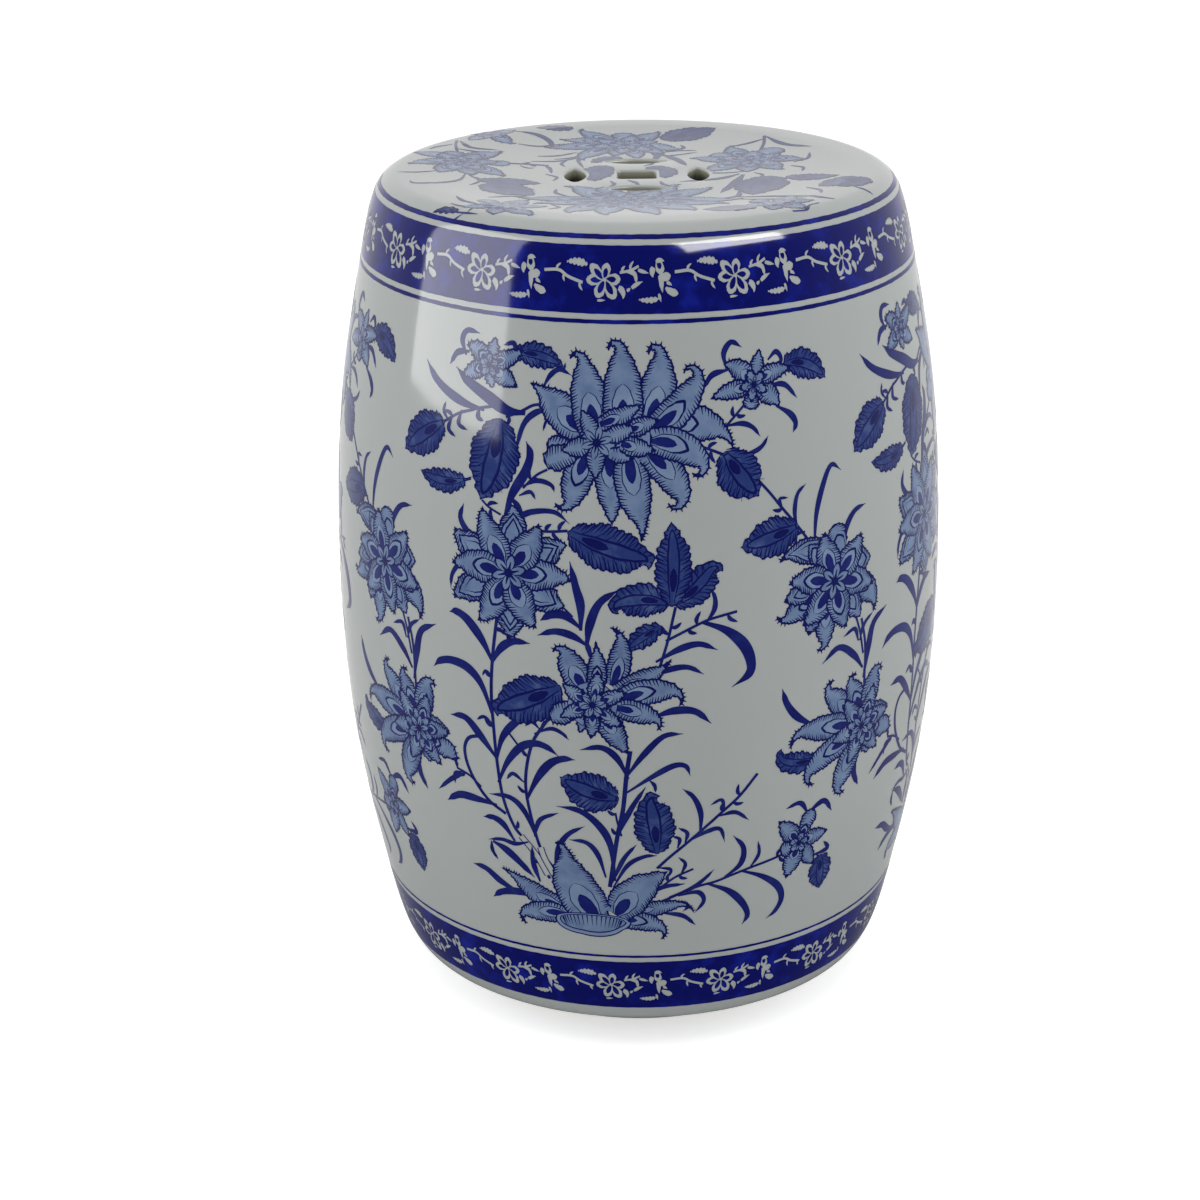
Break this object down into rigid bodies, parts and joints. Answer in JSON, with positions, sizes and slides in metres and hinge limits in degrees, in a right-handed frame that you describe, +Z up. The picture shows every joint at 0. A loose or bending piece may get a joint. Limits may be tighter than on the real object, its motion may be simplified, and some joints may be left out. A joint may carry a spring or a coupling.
{
  "type": "ceramic garden stool",
  "caption": "Hollow glazed ceramic drum stool with a gently dished coin-pierced seat, a full belly and an open foot ring, painted with blue blossoms.",
  "frame": {"origin": "on the floor, below the centre of the stool", "axes": "+Z up along the stool's axis of turning, -Y towards the side seen in front, +X to the right of that view"},
  "size_m": [0.3302, 0.3302, 0.4572],
  "materials": {
    "glazed_stoneware": "gloss",
    "bare_stoneware": "matte",
    "pad_rubber": "matte"
  },
  "bodies": {
    "root": {"barrel_wall": "glazed_stoneware", "seat_slab": "glazed_stoneware", "foot_ring": "bare_stoneware", "seat_lute_coil": "bare_stoneware", "foot_lute_coil": "bare_stoneware", "foot_pad_front_right": "pad_rubber", "foot_pad_back_right": "pad_rubber", "foot_pad_back_left": "pad_rubber", "foot_pad_front_left": "pad_rubber"}
  },
  "joints": []
}
